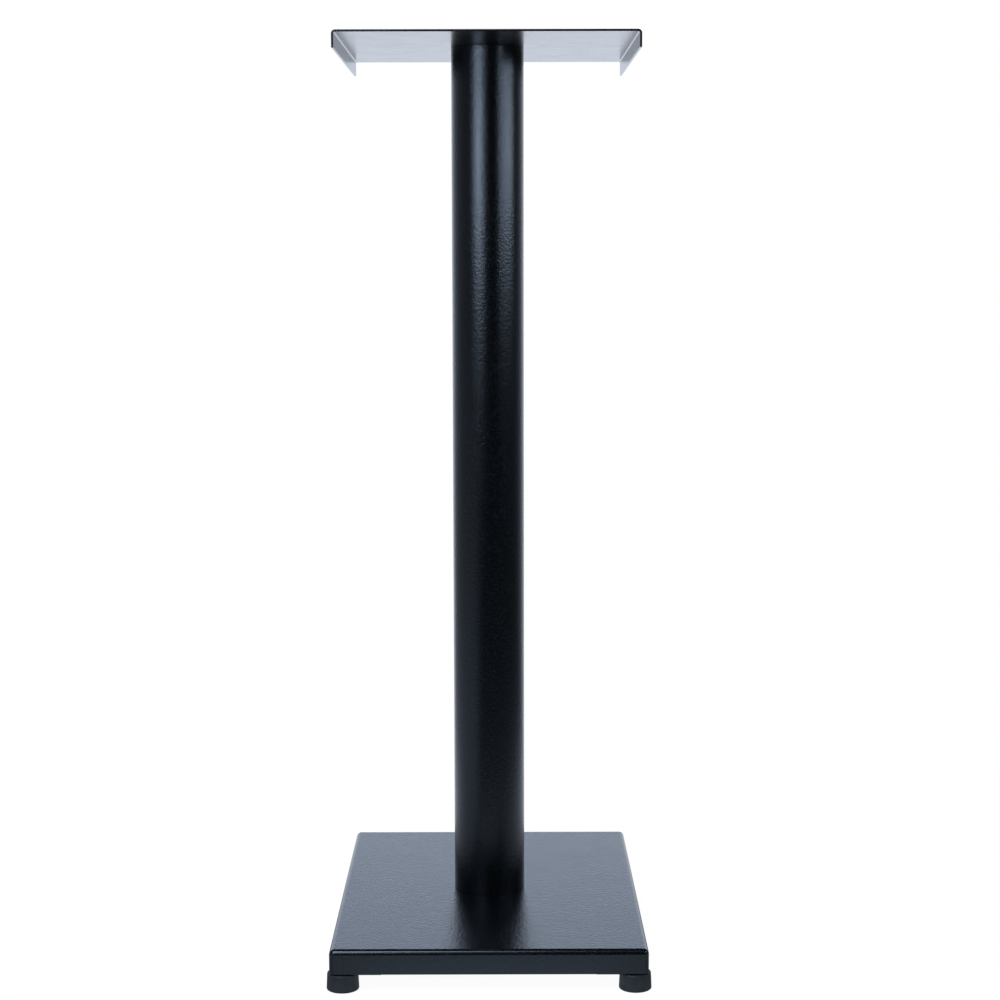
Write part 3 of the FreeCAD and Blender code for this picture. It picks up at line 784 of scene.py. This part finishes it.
def make_column():
    """Round tube whose wall's section is carried round the axis."""
    low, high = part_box("column_tube")
    half = TUBE_WALL / 2
    middle = high.x - half
    section = rounded_outline([
        (-half, low.z, TUBE_INNER_EDGE),
        (half, low.z, TUBE_OUTER_EDGE),
        (half, high.z, TUBE_OUTER_EDGE),
        (-half, high.z, TUBE_INNER_EDGE),
    ])
    shape = bmesh.new()
    # The tree carries the section with its second axis pointing down.
    loop = [shape.verts.new((across, -up, 0)) for across, up in section]
    for here, there in zip(loop, loop[1:] + loop[:1]):
        shape.edges.new((here, there))
    piece = new_piece(shape, "column_tube_drawn")
    run_shape_tree(piece, COLUMN_TREE, Middle_Radius=middle, Steps_Round=COLUMN_STEPS,
                   Material=POWDER_COAT)
    tidy_mesh(piece)
    return dress(even_shading(piece), POWDER_COAT, "black_powder_coat", "column_tube")


def tidy_mesh(piece):
    """Merges doubled points and turns every face outwards."""
    shape = bmesh.new()
    shape.from_mesh(piece.data)
    bmesh.ops.remove_doubles(shape, verts=shape.verts, dist=SAME_POINT)
    bmesh.ops.recalc_face_normals(shape, faces=shape.faces)
    shape.to_mesh(piece.data)
    shape.free()
    return piece


# ---------------------------------------------------------------- feet

def make_foot(corner):
    """Moulded rubber foot with a pocket for its screw."""
    node = f"foot_{corner}"
    low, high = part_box(node)
    centre = (low + high) / 2
    floor_radius = (high.x - low.x) / 2
    washer_low, washer_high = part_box("foot_washers")
    section = [
        (FOOT_POCKET_RADIUS, low.z, FOOT_POCKET_MOUTH),
        (floor_radius, low.z, FOOT_FLOOR_ROUND),
        (FOOT_TOP_RADIUS, high.z, FOOT_TOP_ROUND),
        (FOOT_HOLE_RADIUS, high.z, 0),
        (FOOT_HOLE_RADIUS, washer_high.z, 0),
        (FOOT_POCKET_RADIUS, washer_low.z, 0),
    ]
    piece = new_piece(turned(section, FOOT_STEPS, (centre.x, centre.y)), f"{node}_moulded")
    return dress(even_shading(piece), RUBBER, "black_rubber", node)


# ---------------------------------------------------------------- fasteners

def place_round_column(piece, material, seed, loose_turn):
    """Four of a fastener, evenly round the column's axis."""
    return run_shape_tree(
        piece, BOLT_CIRCLE_TREE, Count=4, Circle_Radius=BOLT_CIRCLE_RADIUS,
        First_Angle=QUARTER / 2, Loose_Turn=loose_turn, Seed=seed, Material=material)


def place_at_feet(piece, material, seed, loose_turn):
    """One of a fastener at each of the four feet."""
    low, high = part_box("foot_front_left")
    across = abs(low.x + high.x)
    along = abs(low.y + high.y)
    return run_shape_tree(
        piece, FEET_TREE, Spacing_Across=across, Spacing_Along=along, Loose_Turn=loose_turn,
        Seed=seed, Material=material)


def make_top_screws():
    """Countersunk screws with a hexagon socket, their heads just under the plate's face."""
    low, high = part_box("top_plate_screws")
    taper = TOP_SCREW_HEAD - TOP_SCREW_SHANK
    piece = new_piece(turned([
        (0, low.z, 0),
        (TOP_SCREW_SHANK, low.z, 0.5 * MM),
        (TOP_SCREW_SHANK, high.z - taper, 0.4 * MM),
        (TOP_SCREW_HEAD, high.z, 0.25 * MM),
        (0, high.z, 0),
    ], FASTENER_STEPS), "top_plate_screws_turned")
    bottom = high.z - TOP_SCREW_SOCKET_DEPTH
    combine(piece, slab(hexagon(TOP_SCREW_SOCKET, 0.15 * MM), bottom, high.z + GAUGE,
                        edge=0.1 * MM))
    bevel_bottom = high.z - SOCKET_BEVEL_DEPTH
    bevel_top = high.z + SOCKET_BEVEL_RISE
    combine(piece, turned([
        (0, bevel_bottom, 0),
        (TOP_SCREW_SOCKET * 0.42, bevel_bottom, 0),
        (TOP_SCREW_SOCKET * 0.62, bevel_top, 0),
        (0, bevel_top, 0),
    ], FASTENER_STEPS))
    place_round_column(piece, BLACK_OXIDE, seed=3, loose_turn=math.pi / 6)
    return dress(even_shading(piece), BLACK_OXIDE, "black_oxide_steel", "top_plate_screws")


def make_hexagon_body(flats, low, high, name, both_ends=False):
    """Hexagon with the round bevel of a turned bar on its lower end, or on both."""
    reach = flats / math.sqrt(3)
    piece = new_piece(slab(hexagon(flats, 0.25 * MM), low, high, edge=0.15 * MM), name)
    bevel_out = reach + 0.3 * MM
    bevel_in = flats / 2 - 0.2 * MM
    rise = (bevel_out - bevel_in) * math.tan(HEXAGON_BEVEL)
    top_in = bevel_in if both_ends else bevel_out
    top_rise = rise if both_ends else 0.01 * MM
    combine(piece, turned([
        (0, low, 0),
        (bevel_in, low, 0.2 * MM),
        (bevel_out, low + rise, 0),
        (bevel_out, high - top_rise, 0),
        (top_in, high, 0),
        (0, high, 0),
    ], FASTENER_STEPS), "INTERSECT")
    return piece


def make_base_bolts():
    """Hexagon bolts that hold the column from below."""
    low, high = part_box("base_bolts")
    piece = make_hexagon_body(BASE_BOLT_FLATS, low.z, low.z + BASE_BOLT_HEAD,
                              "base_bolts_forged")
    inside_head = low.z + BASE_BOLT_HEAD / 2
    combine(piece, turned([
        (0, inside_head, 0),
        (BASE_BOLT_SHANK, inside_head, 0),
        (BASE_BOLT_SHANK, high.z, 0.8 * MM),
        (0, high.z, 0),
    ], FASTENER_STEPS), "UNION")
    place_round_column(piece, PLATED_STEEL, seed=11, loose_turn=math.pi / 6)
    return dress(even_shading(piece), PLATED_STEEL, "zinc_plated_steel", "base_bolts")


def make_flat_washers():
    """Flat washers between the spring washers and the doubler plate."""
    low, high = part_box("base_flat_washers")
    outer = high.x - BOLT_CIRCLE_RADIUS / math.sqrt(2)
    piece = new_piece(turned([
        (BASE_HOLE_RADIUS, low.z, 0.15 * MM),
        (outer, low.z, 0.35 * MM),
        (outer, high.z, 0.15 * MM),
        (BASE_HOLE_RADIUS, high.z, 0.15 * MM),
    ], FASTENER_STEPS), "base_flat_washers_stamped")
    place_round_column(piece, PLATED_STEEL, seed=5, loose_turn=0.0)
    return dress(even_shading(piece), PLATED_STEEL, "zinc_plated_steel", "base_flat_washers")


def make_spring_washers():
    """Coiled washers, each with a slanted split."""
    low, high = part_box("base_spring_washers")
    outer = high.x - BOLT_CIRCLE_RADIUS / math.sqrt(2)
    section = rounded_outline([
        (BASE_HOLE_RADIUS, low.z, 0.2 * MM),
        (outer, low.z, 0.3 * MM),
        (outer, high.z, 0.3 * MM),
        (BASE_HOLE_RADIUS, high.z, 0.2 * MM),
    ])
    middle = (BASE_HOLE_RADIUS + outer) / 2
    gap = SPLIT_WIDTH / middle
    level = (low.z + high.z) / 2
    rings = []
    for step in range(FASTENER_STEPS + 1):
        angle = gap / 2 + (2 * math.pi - gap) * step / FASTENER_STEPS
        ring = []
        for out, height in section:
            leaning = angle + SPLIT_SLANT * (height - level) / middle
            ring.append((out * math.cos(leaning), out * math.sin(leaning), height))
        rings.append(ring)
    piece = new_piece(loft(rings), "base_spring_washers_coiled")
    place_round_column(piece, PLATED_STEEL, seed=8, loose_turn=math.pi)
    return dress(even_shading(piece), PLATED_STEEL, "zinc_plated_steel", "base_spring_washers")


def make_foot_screws():
    """Pan head screws with a cross recess, driven up through the feet."""
    low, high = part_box("foot_screws")
    foot_low, foot_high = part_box("foot_front_left")
    head = (foot_low.x + foot_high.x) / 2 - low.x
    seat = low.z + FOOT_SCREW_HEAD_HEIGHT
    piece = new_piece(turned([
        (0, low.z, 0),
        (head, low.z, FOOT_SCREW_HEAD_ROUND),
        (head, seat, 0.25 * MM),
        (FOOT_SCREW_SHANK, seat, 0.2 * MM),
        (FOOT_SCREW_SHANK, high.z, 0.5 * MM),
        (0, high.z, 0),
    ], FASTENER_STEPS), "foot_screws_turned")
    for length, width in ((CROSS_LENGTH, CROSS_WIDTH), (CROSS_WIDTH, CROSS_LENGTH)):
        combine(piece, tapered_bar(length / 2, width / 2, low.z, CROSS_DEPTH))
    place_at_feet(piece, PLATED_STEEL, seed=2, loose_turn=math.pi)
    return dress(even_shading(piece), PLATED_STEEL, "zinc_plated_steel", "foot_screws")


def tapered_bar(half_x, half_y, level, depth):
    """One arm of a cross recess, cut upwards from a level and narrowing as it goes."""
    beyond = -0.5 * MM
    rings = []
    for rise, share in ((beyond, 1.0), (0.0, 1.0), (depth, CROSS_NARROWING)):
        corners = rectangle(half_x * share, half_y * share, 0.12 * MM)
        rings.append([(x, y, level + rise) for x, y in rounded_outline(corners)])
    return loft(rings)


def make_foot_washers():
    """Steel washers moulded into the feet."""
    low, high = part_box("foot_washers")
    foot_low, foot_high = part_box("foot_front_left")
    outer = (foot_low.x + foot_high.x) / 2 - low.x
    piece = new_piece(turned([
        (FOOT_HOLE_RADIUS, low.z, 0.1 * MM),
        (outer, low.z, 0.2 * MM),
        (outer, high.z, 0.1 * MM),
        (FOOT_HOLE_RADIUS, high.z, 0.1 * MM),
    ], FASTENER_STEPS), "foot_washers_stamped")
    place_at_feet(piece, PLATED_STEEL, seed=1, loose_turn=0.0)
    return dress(even_shading(piece), PLATED_STEEL, "zinc_plated_steel", "foot_washers")


def make_foot_nuts():
    """Hexagon nuts welded on the corner plates."""
    low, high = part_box("foot_weld_nuts")
    piece = make_hexagon_body(FOOT_NUT_FLATS, low.z, high.z, "foot_weld_nuts_forged",
                              both_ends=True)
    drill(piece, [(0, 0)], FOOT_SCREW_SHANK, low.z, high.z)
    place_at_feet(piece, POWDER_COAT, seed=4, loose_turn=math.pi / 6)
    return dress(even_shading(piece), POWDER_COAT, "black_powder_coat", "foot_weld_nuts")


# ---------------------------------------------------------------- the assembly

make_top_plate()
make_top_screws()
make_column()
make_base_tray()
make_base_doubler()
make_doubler_welds()
make_base_bolts()
make_spring_washers()
make_flat_washers()
make_foot_washers()
make_foot_screws()
make_foot_nuts()
for corner, (side_x, side_y) in CORNERS.items():
    make_gusset(corner, side_x, side_y)
    make_foot(corner)
for node in ("column_top_disc", "column_bottom_disc"):
    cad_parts[node].data.materials.clear()
    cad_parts[node].data.materials.append(BARE_STEEL)


# ---------------------------------------------------------------- studio

# The camera that the photograph was taken with, as it was worked out from the stand's edges.
CAMERA_PLACE = (8.47 * MM, -2006.3 * MM, 675.5 * MM)
CAMERA_TURN = -0.0014  # about the upright axis, radians
CAMERA_TILT = -0.1208  # downwards
CAMERA_ROLL = 0.0021
LENS_MM = 73.67
SENSOR_MM = 36

FLOOR_REACH = 4.0
FLOOR_OWN_LIGHT = 0.96  # the part of the floor's white that a shadow doesn't take away
FLOOR_SHADE = 0.06  # the part that it does
SHADOW_REACH = 0.4  # distance from the stand up to which the floor shows its whole shadow
FLOOR_WHITE_FROM = 0.9  # and past which the floor is plain white
ROOM_LIGHT = 0.55  # even light from all round, on matt surfaces
STUDIO_TINT = (0.94, 1.0, 1.12, 1)
HIGH_TINT = (0.85, 0.99, 1.24, 1)  # the backdrop's upper part

# What a shiny surface sees of the floor, by distance from a spot behind the stand: a painted pool
# of light.
PAINTED_POOL_CENTRE = (0, 300 * MM, 0)
PAINTED_POOL_OF_LIGHT = [(0.0, 0.9), (0.45, 0.85), (0.6, 0.66), (0.76, 0.25), (1.02, 0.13), (1.3, 0.08),
             (2.2, 0.02)]
PAINTED_LEFT_LIGHT = [(0.9, 0.5), (1.9, 0.3)]  # painted light on the floor on the left, by distance from the stand
PAINTED_SIDE_SHADOW_LEVEL = 0.12  # painted shadow: what is left of the floor's glow close to the base's sides
PAINTED_SIDE_SHADOW_REACH = (0.18, 0.5)  # distances between which that painted shadow gives way to the rest of the glow
# What it sees of the room, by how far round from the front it looks, from -1 to 1.
ROOM = [(-1.0, 0.004), (-0.2, 0.04), (0.29, 0.11), (0.57, 0.30), (0.68, 0.46), (0.79, 0.72),
        (0.89, 1.07), (1.0, 1.19)]
LEFT_WALL = 0.12  # how much lighter the room is on the left
ROOM_TOP = (0.42, 0.58)  # how steeply up a look goes where the walls end, from 0 to 1
ABOVE_ROOM = 0.02  # what is left of the room's light above them
ROOM_FOOT = 1.15  # how much lighter the walls are near the floor

# The upright softboxes in front of the stand: panels of (first bearing, last bearing, share), in
# degrees from the front towards +X, and rows of (lower edge, upper edge, radiance), as a real
# softbox is brightest in the middle and dimmer towards its edges.
SOFTBOX_DISTANCE = 1.25
LEFT_PANELS = [(-48, -8, 0.35), (-38, -19, 0.65)]
LEFT_ROWS = [(0.45, 0.6, 0.1), (0.6, 0.7, 0.6), (0.7, 0.78, 2.4), (0.78, 0.85, 7.6),
             (0.85, 0.92, 10.2)]
RIGHT_PANELS = [(36, 86, 0.75), (52, 76, 0.25)]
RIGHT_ROWS = [(0.6, 0.7, 0.1), (0.7, 0.78, 1.2), (0.78, 0.84, 3.8), (0.84, 0.92, 6.6)]
LAMP_POWER = 4  # watts for each square metre and unit of radiance


def make_camera():
    """The photograph's camera."""
    camera = bpy.data.cameras.new("camera")
    camera.lens = LENS_MM
    camera.sensor_width = SENSOR_MM
    holder = bpy.data.objects.new("camera", camera)
    turn = Matrix.Rotation(CAMERA_TURN, 4, "Z")
    tilt = Matrix.Rotation(CAMERA_TILT, 4, "X")
    roll = Matrix.Rotation(CAMERA_ROLL, 4, "Y")
    level = Matrix.Rotation(QUARTER, 4, "X")
    holder.matrix_world = Matrix.Translation(CAMERA_PLACE) @ turn @ tilt @ roll @ level
    bpy.context.scene.collection.objects.link(holder)
    bpy.context.scene.camera = holder


def choose(tree, factor, otherwise, value):
    """One number, or another where the factor is 1."""
    node = add(tree, "ShaderNodeMix", {0: factor, 2: otherwise, 3: value}, data_type="FLOAT")
    return node.outputs[0]


def reflected(tree):
    """1 for a ray that a shiny or a clear surface sends on."""
    rays = add(tree, "ShaderNodeLightPath").outputs
    return math_node(tree, "MAXIMUM", rays["Is Glossy Ray"], rays["Is Transmission Ray"])


def floor_glow_with_painted_light(tree, spot, distance):
    """What a shiny surface sees of the floor, a glow of painted light: a painted pool of light
    round the stand, on the left and behind, dark in front, and a painted shadow close to the
    base's sides."""
    # Painted pool of light round a spot behind the stand, and painted light on the left.
    from_lit = add(tree, "ShaderNodeVectorMath", {0: spot, 1: PAINTED_POOL_CENTRE}, operation="DISTANCE")
    near = level_ramp(tree, from_lit.outputs["Value"], PAINTED_POOL_OF_LIGHT)
    bearing = add(tree, "ShaderNodeVectorMath", {0: spot}, operation="NORMALIZE")
    sides = add(tree, "ShaderNodeSeparateXYZ", {0: bearing.outputs[0]}).outputs
    on_left = mapped(tree, sides["X"], -0.8, -0.25, 1.0, 0.0)
    leftwards = math_node(tree, "MULTIPLY", on_left, level_ramp(tree, distance, PAINTED_LEFT_LIGHT))
    far = math_node(tree, "MAXIMUM", leftwards, level_ramp(tree, sides["Y"], ROOM))
    # Painted shadow of the base on the floor's glow, close to its sides.
    beside = mapped(tree, math_node(tree, "ABSOLUTE", sides["X"]), 0.3, 0.8, 0.0, 1.0)
    painted_shadow_fade = mapped(tree, distance, *PAINTED_SIDE_SHADOW_REACH, PAINTED_SIDE_SHADOW_LEVEL, 1.0)
    painted_contact_shadow = choose(tree, beside, 1.0, painted_shadow_fade)
    return math_node(tree, "MULTIPLY", math_node(tree, "MAXIMUM", near, far), painted_contact_shadow)


def make_floor():
    """Pale floor, partly self-lit, so that the stand's shadow on it stays soft and pale; to shiny
    surfaces it glows with painted light and painted shadow.
    """
    mesh = bpy.data.meshes.new("floor")
    reach = FLOOR_REACH
    mesh.from_pydata([(-reach, -reach, 0), (reach, -reach, 0), (reach, reach, 0),
                      (-reach, reach, 0)], [], [(0, 1, 2, 3)])
    floor = bpy.data.objects.new("floor", mesh)
    bpy.context.scene.collection.objects.link(floor)
    material = bpy.data.materials.new("floor")
    material.use_nodes = True
    tree = material.node_tree
    tree.nodes.clear()
    glossy = reflected(tree)
    spot = places(tree)
    distance = add(tree, "ShaderNodeVectorMath", {0: spot}, operation="LENGTH").outputs["Value"]
    plain = mapped(tree, distance, SHADOW_REACH, FLOOR_WHITE_FROM, 0.0, 1.0)
    # The floor's glow for shiny surfaces, with painted light and painted shadow.
    painted_floor_glow = floor_glow_with_painted_light(tree, spot, distance)
    own = choose(tree, plain, FLOOR_OWN_LIGHT, 1.0)
    shade = choose(tree, plain, FLOOR_SHADE, 0.0)
    glow = add(tree, "ShaderNodeEmission", {
        "Color": mix_colours(tree, glossy, (1, 1, 1, 1), STUDIO_TINT),
        "Strength": choose(tree, glossy, own, painted_floor_glow),
    })
    shown = choose(tree, glossy, shade, 0.0)
    matt = add(tree, "ShaderNodeBsdfDiffuse", {
        "Color": add(tree, "ShaderNodeCombineColor", {0: shown, 1: shown, 2: shown}).outputs[0],
    })
    both = add(tree, "ShaderNodeAddShader", {0: glow.outputs[0], 1: matt.outputs[0]})
    clear = add(tree, "ShaderNodeBsdfTransparent")
    seen = add(tree, "ShaderNodeMixShader", {
        0: add(tree, "ShaderNodeNewGeometry").outputs["Backfacing"],
        1: both.outputs[0],
        2: clear.outputs[0],
    })
    add(tree, "ShaderNodeOutputMaterial", {0: seen.outputs[0]})
    mesh.materials.append(material)


def make_surroundings():
    """White to the camera; to a glossy surface, a white backdrop behind the stand, grey walls
    at the sides and a dark room in front; even light for matt surfaces."""
    world = bpy.data.worlds.new("studio")
    bpy.context.scene.world = world
    world.use_nodes = True
    tree = world.node_tree
    tree.nodes.clear()
    rays = add(tree, "ShaderNodeLightPath").outputs
    heading = add(tree, "ShaderNodeTexCoord").outputs["Generated"]
    parts = add(tree, "ShaderNodeSeparateXYZ", {0: heading}).outputs
    level_out = add(tree, "ShaderNodeCombineXYZ", {"X": parts["X"], "Y": parts["Y"]})
    bearing = add(tree, "ShaderNodeVectorMath", {0: level_out.outputs[0]}, operation="NORMALIZE")
    sides = add(tree, "ShaderNodeSeparateXYZ", {0: bearing.outputs[0]}).outputs
    leftwards = mapped(tree, sides["X"], -0.95, -0.5, LEFT_WALL, 0.0)
    walls = math_node(tree, "ADD", leftwards, level_ramp(tree, sides["Y"], ROOM))
    high = mapped(tree, parts["Z"], *ROOM_TOP, 1.0, ABOVE_ROOM)
    low = mapped(tree, parts["Z"], -0.05, 0.2, ROOM_FOOT, 1.0)
    level = math_node(tree, "MULTIPLY", walls, math_node(tree, "MULTIPLY", high, low))
    rise = mapped(tree, parts["Z"], 0.0, 0.3, 0.0, 1.0)
    room_tint = mix_colours(tree, rise, STUDIO_TINT, HIGH_TINT)
    glossy = reflected(tree)
    lights = add(tree, "ShaderNodeBackground", {
        "Color": mix_colours(tree, glossy, (1, 1, 1, 1), room_tint),
        "Strength": choose(tree, glossy, ROOM_LIGHT, level),
    })
    white = add(tree, "ShaderNodeBackground", {"Color": (1, 1, 1, 1), "Strength": 1.0})
    both = add(tree, "ShaderNodeMixShader", {
        0: rays["Is Camera Ray"],
        1: lights.outputs[0],
        2: white.outputs[0],
    })
    add(tree, "ShaderNodeOutputWorld", {0: both.outputs[0]})


def make_softbox(name, width, height, radiance, place, aim):
    """Soft rectangular light at a place, facing a spot."""
    lamp = bpy.data.lights.new(name, "AREA")
    lamp.shape = "RECTANGLE"
    lamp.size = width
    lamp.size_y = height
    lamp.color = STUDIO_TINT[:3]
    lamp.energy = radiance * LAMP_POWER * width * height
    holder = bpy.data.objects.new(name, lamp)
    holder.location = place
    holder.rotation_euler = (Vector(aim) - Vector(place)).to_track_quat("-Z", "Y").to_euler()
    holder.visible_camera = False
    bpy.context.scene.collection.objects.link(holder)


def standing_softbox(name, panels, rows):
    """Upright softbox whose panels and rows face the column."""
    for panel, (first, last, share) in enumerate(panels):
        middle = math.radians((first + last) / 2)
        half = math.radians(last - first) / 2
        across = SOFTBOX_DISTANCE * math.sin(middle)
        along = -SOFTBOX_DISTANCE * math.cos(middle)
        width = 2 * SOFTBOX_DISTANCE * math.tan(half)
        for row, (low, high, radiance) in enumerate(rows):
            height = (low + high) / 2
            make_softbox(f"{name}_{panel}_{row}", width, high - low, radiance * share,
                         (across, along, height), (0, 0, height))


def make_lights():
    standing_softbox("softbox_left", LEFT_PANELS, LEFT_ROWS)
    standing_softbox("softbox_right", RIGHT_PANELS, RIGHT_ROWS)
    make_softbox("softbox_overhead", width=1.0, height=0.95, radiance=6.0,
                 place=(-0.6, -1.0, 1.9), aim=(-0.1, -0.2, 0))


make_camera()
make_floor()
make_surroundings()
make_lights()
bpy.context.scene.view_settings.view_transform = "Standard"
